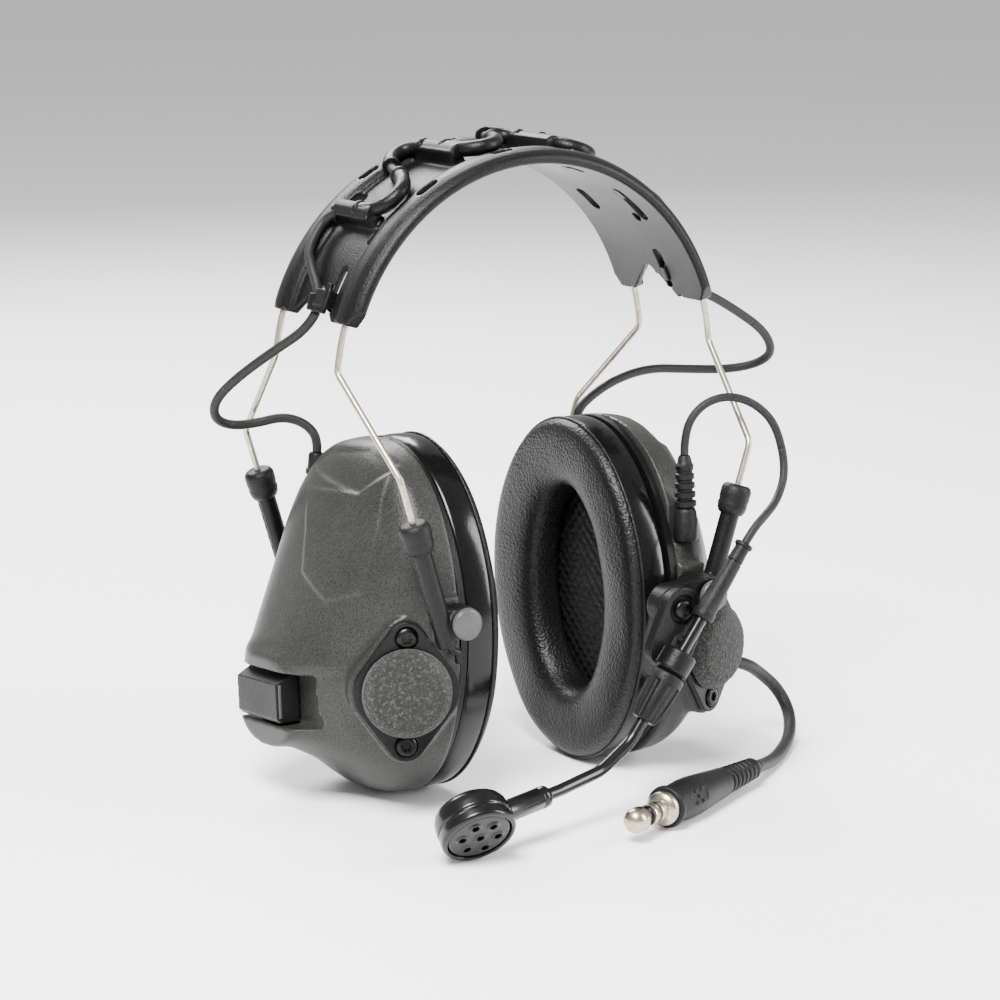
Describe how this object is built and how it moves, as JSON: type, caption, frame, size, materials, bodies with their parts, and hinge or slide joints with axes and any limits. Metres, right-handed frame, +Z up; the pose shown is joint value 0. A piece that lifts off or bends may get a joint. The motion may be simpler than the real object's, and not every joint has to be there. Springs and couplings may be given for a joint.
{
  "type": "communications_headset",
  "caption": "Over-head radio communications headset with sliding ear cups, a boom microphone, a battery door on each cup and a down-lead with a metal plug",
  "frame": {"origin": "the middle of the wearer's head, half way between the faces of the two ear cushions", "axes": "+Z up, +X towards the wearer's left ear, -Y the way the wearer faces; it stands on a level surface 52.5 mm below the origin"},
  "size_m": [0.1917, 0.1387, 0.1918],
  "materials": {
    "shell_paint": "satin grey coating with a fine grain",
    "latch_rubber": "matte moulded rubber",
    "black_plastic": "fine moulded grain",
    "grey_plastic": "satin grey moulding",
    "foam": "open-cell foam",
    "cushion_vinyl": "pebbled soft vinyl with a glossy edge",
    "dark_metal": "black oxide",
    "spring_steel": "bare drawn spring wire",
    "boom_gloss": "glossy black tube",
    "electronics": "plain",
    "cell_metal": "plain metal can",
    "cable_jacket": "smooth flexible jacket with a soft sheen",
    "plug_metal": "worn nickel plate"
  },
  "bodies": {
    "headband": {"head_band": "black_plastic", "cable_sleeves": "latch_rubber", "cable_clips": "black_plastic", "band_cable": "cable_jacket", "spring_wires": "spring_steel", "right_link_upper": "cable_jacket", "left_link_upper": "cable_jacket"},
    "right_yoke": {"right_arms": "black_plastic", "right_arm_collars": "latch_rubber"},
    "right_cup": {"right_base_shell": "shell_paint", "right_mic_plate": "black_plastic", "right_foam_windscreen": "foam", "right_plate_screws": "dark_metal", "right_mic_element": "electronics", "right_ear_cushion": "cushion_vinyl", "right_baffle": "black_plastic", "right_foam_liner": "foam", "right_driver": "electronics", "right_circuit_board": "electronics", "right_battery_cell": "cell_metal", "right_pivot_pins": "grey_plastic", "right_cable_relief": "latch_rubber", "right_link_lower": "cable_jacket"},
    "right_door": {"right_battery_door": "latch_rubber"},
    "left_yoke": {"left_arms": "black_plastic", "left_arm_collars": "latch_rubber"},
    "left_cup": {"left_base_shell": "shell_paint", "left_mic_plate": "black_plastic", "left_foam_windscreen": "foam", "left_plate_screws": "dark_metal", "left_mic_element": "electronics", "left_ear_cushion": "cushion_vinyl", "left_baffle": "black_plastic", "left_foam_liner": "foam", "left_driver": "electronics", "left_circuit_board": "electronics", "left_battery_cell": "cell_metal", "left_pivot_pins": "grey_plastic", "left_cable_relief": "latch_rubber", "left_link_lower": "cable_jacket", "mic_connector": "latch_rubber", "mic_lead_upper": "cable_jacket", "downlead_gland": "latch_rubber", "downlead": "cable_jacket", "plug_body": "latch_rubber", "plug_contacts": "plug_metal", "plug_insulators": "latch_rubber"},
    "left_door": {"left_battery_door": "latch_rubber"},
    "boom_holder": {"boom_bracket": "black_plastic", "boom_fork": "black_plastic"},
    "lead_collar": {"boom_collar": "black_plastic", "mic_lead_lower": "cable_jacket"},
    "boom": {"boom_tube": "boom_gloss", "boom_sleeves": "latch_rubber", "mic_housing": "black_plastic", "mic_grille": "black_plastic", "boom_mic_element": "electronics"},
    "knob": {"clamp_knob": "black_plastic"}
  },
  "joints": [
    {"name": "right_slide", "type": "slide", "parent": "headband", "child": "right_yoke", "axis": [0.3007, 0, -0.9537], "range_m": [-0.006, 0.022], "deforming": ["right_link_upper"]},
    {"name": "right_tilt", "type": "hinge", "parent": "right_yoke", "child": "right_cup", "pos_m": [-0.04, 0, 0.007], "axis": [0, 1, 0], "range_deg": [-10, 10], "deforming": ["right_link_lower"]},
    {"name": "right_door_hinge", "type": "hinge", "parent": "right_cup", "child": "right_door", "pos_m": [-0.0706, 0.00898, -0.01794], "axis": [0, 0.9962, -0.0872], "range_deg": [0, 40]},
    {"name": "left_slide", "type": "slide", "parent": "headband", "child": "left_yoke", "axis": [-0.3007, 0, -0.9537], "range_m": [-0.006, 0.022], "deforming": ["left_link_upper"]},
    {"name": "left_tilt", "type": "hinge", "parent": "left_yoke", "child": "left_cup", "pos_m": [0.04, 0, 0.007], "axis": [0, 1, 0], "range_deg": [-10, 10], "deforming": ["left_link_lower"]},
    {"name": "left_door_hinge", "type": "hinge", "parent": "left_cup", "child": "left_door", "pos_m": [0.0706, 0.00898, -0.01794], "axis": [0, -0.9962, 0.0872], "range_deg": [0, 40]},
    {"name": "boom_swing", "type": "hinge", "parent": "left_cup", "child": "boom_holder", "pos_m": [0.04, -0.052, 0.007], "axis": [0, 1, 0], "range_deg": [-5, 95], "deforming": ["mic_lead_upper"]},
    {"name": "boom_slide", "type": "slide", "parent": "boom_holder", "child": "lead_collar", "axis": [-0.5897, 0, -0.8076], "range_m": [-0.003, 0.01], "deforming": ["mic_lead_lower"]},
    {"name": "boom_twist", "type": "hinge", "parent": "lead_collar", "child": "boom", "pos_m": [0.0463, -0.062, 0.023], "axis": [-0.5897, 0, -0.8076], "range_deg": [-25, 15]},
    {"name": "knob_turn", "type": "hinge", "parent": "boom_holder", "child": "knob", "pos_m": [0.0203, -0.062, -0.0126], "axis": [-0.5897, 0, -0.8076], "range_deg": [-120, 120]}
  ]
}
